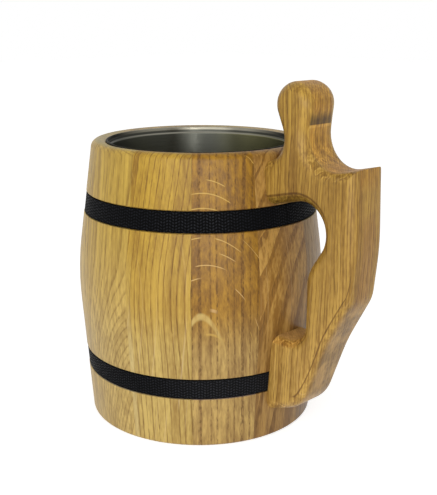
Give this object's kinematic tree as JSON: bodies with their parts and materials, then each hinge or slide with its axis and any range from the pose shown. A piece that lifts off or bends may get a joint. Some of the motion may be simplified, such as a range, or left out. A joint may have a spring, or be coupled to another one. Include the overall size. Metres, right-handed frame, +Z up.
{
  "type": "wooden tankard",
  "caption": "Barrel-shaped oak drinking tankard built of glued staves, with a steel liner cup, woven tape bands in turned grooves and a sawn handle with a thumb knob.",
  "frame": {"origin": "centre of the base disc's underside, on the barrel's axis", "axes": "+Z up along the barrel's axis, +X from the axis out through the middle of the handle, +Y to the left of the handle as seen from behind it"},
  "size_m": [0.1673, 0.1252, 0.1729],
  "materials": {
    "stave_oak": "satin lacquer",
    "handle_oak": "satin lacquer",
    "disc_oak": "satin lacquer",
    "liner_steel": "drawn, brushed",
    "black_tape": "herringbone weave",
    "sealant": "matte",
    "screw_steel": "zinc plated"
  },
  "bodies": {
    "root": {"stave_01": "stave_oak", "stave_02": "stave_oak", "stave_03": "stave_oak", "stave_04": "stave_oak", "stave_05": "stave_oak", "stave_06": "stave_oak", "stave_07": "stave_oak", "stave_08": "stave_oak", "stave_09": "stave_oak", "stave_10": "stave_oak", "stave_11": "stave_oak", "stave_12": "stave_oak", "base_disc": "disc_oak", "steel_liner": "liner_steel", "lip_sealant": "sealant", "upper_band": "black_tape", "lower_band": "black_tape", "handle": "handle_oak", "upper_handle_screw": "screw_steel", "lower_handle_screw": "screw_steel"}
  },
  "joints": []
}
